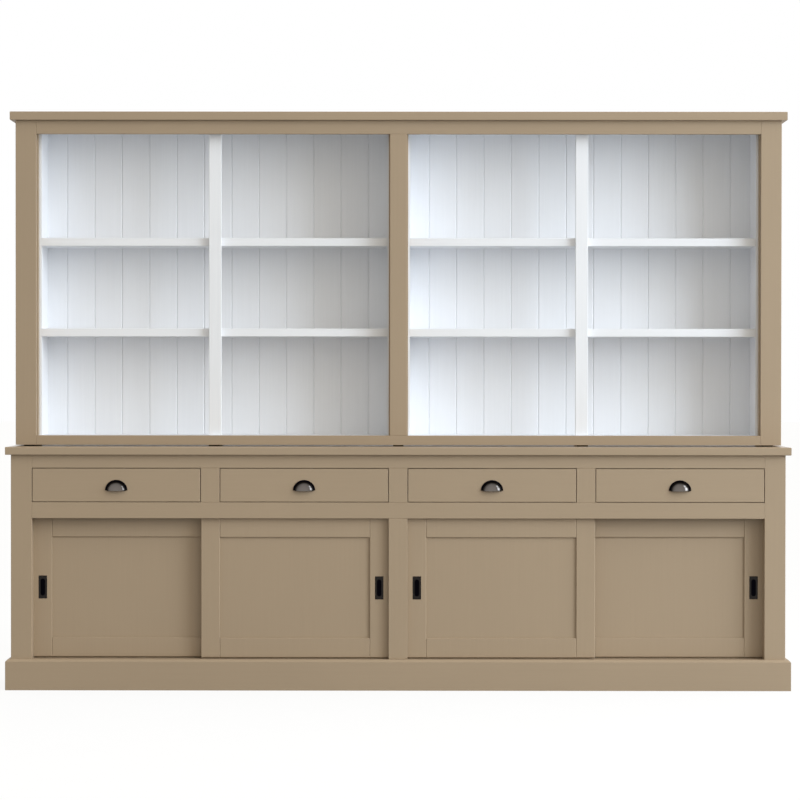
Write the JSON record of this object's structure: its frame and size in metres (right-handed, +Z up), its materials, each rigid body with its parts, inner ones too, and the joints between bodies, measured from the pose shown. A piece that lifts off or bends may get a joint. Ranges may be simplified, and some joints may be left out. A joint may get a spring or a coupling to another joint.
{
  "type": "display cabinet",
  "caption": "Wide painted buffet with drawers and sliding doors, topped by an open shelf unit with a boarded back.",
  "frame": {"origin": "on the floor, at the middle of the width and of the depth of the whole cabinet", "axes": "+X to the viewer's right along the width, +Y to the back, +Z up; the doors and drawers face -Y"},
  "size_m": [3, 0.46, 2.221],
  "materials": {
    "taupe_paint": "satin paint on fine grained wood",
    "white_paint": "satin white paint",
    "plain_wood": "clear satin lacquer",
    "dark_metal": "polished dark bronze plating",
    "track_plastic": "matt",
    "black_rubber": "matt",
    "felt_pad": "pressed felt"
  },
  "bodies": {
    "cabinet": {"back_boards": "white_paint", "backing_posts": "taupe_paint", "base_back": "plain_wood", "base_bottom_rail": "taupe_paint", "base_centre_post": "taupe_paint", "base_divider": "plain_wood", "base_floor": "plain_wood", "base_middle_rail": "taupe_paint", "base_outer_stiles": "taupe_paint", "base_sides": "taupe_paint", "base_top_rail": "taupe_paint", "cornice": "taupe_paint", "cupboard_shelves": "plain_wood", "door_stops": "black_rubber", "drawer_decks": "plain_wood", "drawer_guides": "plain_wood", "drawer_kickers": "plain_wood", "drawer_muntins": "taupe_paint", "floor_bearers": "plain_wood", "head_guides": "track_plastic", "plinth_front": "taupe_paint", "plinth_sides": "taupe_paint", "shelf_cleats": "plain_wood", "shelf_posts": "white_paint", "sill_tracks": "taupe_paint", "upper_bottom_rail": "taupe_paint", "upper_centre_stile": "taupe_paint", "upper_feet": "felt_pad", "upper_floor": "white_paint", "upper_linings": "white_paint", "upper_outer_stiles": "taupe_paint", "upper_shelves": "white_paint", "upper_sides": "taupe_paint", "upper_top": "white_paint", "upper_top_rail": "taupe_paint", "worktop": "taupe_paint"},
    "drawer_1": {"drawer_1_box": "plain_wood", "drawer_1_cup_pull": "dark_metal", "drawer_1_front": "taupe_paint"},
    "door_1": {"door_1_flush_pull": "dark_metal", "door_1_frame": "taupe_paint", "door_1_panel": "taupe_paint"},
    "drawer_2": {"drawer_2_box": "plain_wood", "drawer_2_cup_pull": "dark_metal", "drawer_2_front": "taupe_paint"},
    "door_2": {"door_2_flush_pull": "dark_metal", "door_2_frame": "taupe_paint", "door_2_panel": "taupe_paint"},
    "drawer_3": {"drawer_3_box": "plain_wood", "drawer_3_cup_pull": "dark_metal", "drawer_3_front": "taupe_paint"},
    "door_3": {"door_3_flush_pull": "dark_metal", "door_3_frame": "taupe_paint", "door_3_panel": "taupe_paint"},
    "drawer_4": {"drawer_4_box": "plain_wood", "drawer_4_cup_pull": "dark_metal", "drawer_4_front": "taupe_paint"},
    "door_4": {"door_4_flush_pull": "dark_metal", "door_4_frame": "taupe_paint", "door_4_panel": "taupe_paint"}
  },
  "joints": [
    {"name": "drawer_1_slide", "type": "slide", "parent": "cabinet", "child": "drawer_1", "axis": [0, -1, 0], "range_m": [0, 0.33]},
    {"name": "drawer_2_slide", "type": "slide", "parent": "cabinet", "child": "drawer_2", "axis": [0, -1, 0], "range_m": [0, 0.33]},
    {"name": "drawer_3_slide", "type": "slide", "parent": "cabinet", "child": "drawer_3", "axis": [0, -1, 0], "range_m": [0, 0.33]},
    {"name": "drawer_4_slide", "type": "slide", "parent": "cabinet", "child": "drawer_4", "axis": [0, -1, 0], "range_m": [0, 0.33]},
    {"name": "door_1_slide", "type": "slide", "parent": "cabinet", "child": "door_1", "axis": [1, 0, 0], "range_m": [0, 0.652]},
    {"name": "door_2_slide", "type": "slide", "parent": "cabinet", "child": "door_2", "axis": [1, 0, 0], "range_m": [-0.6457, 0]},
    {"name": "door_3_slide", "type": "slide", "parent": "cabinet", "child": "door_3", "axis": [1, 0, 0], "range_m": [0, 0.6457]},
    {"name": "door_4_slide", "type": "slide", "parent": "cabinet", "child": "door_4", "axis": [1, 0, 0], "range_m": [-0.652, 0]}
  ]
}
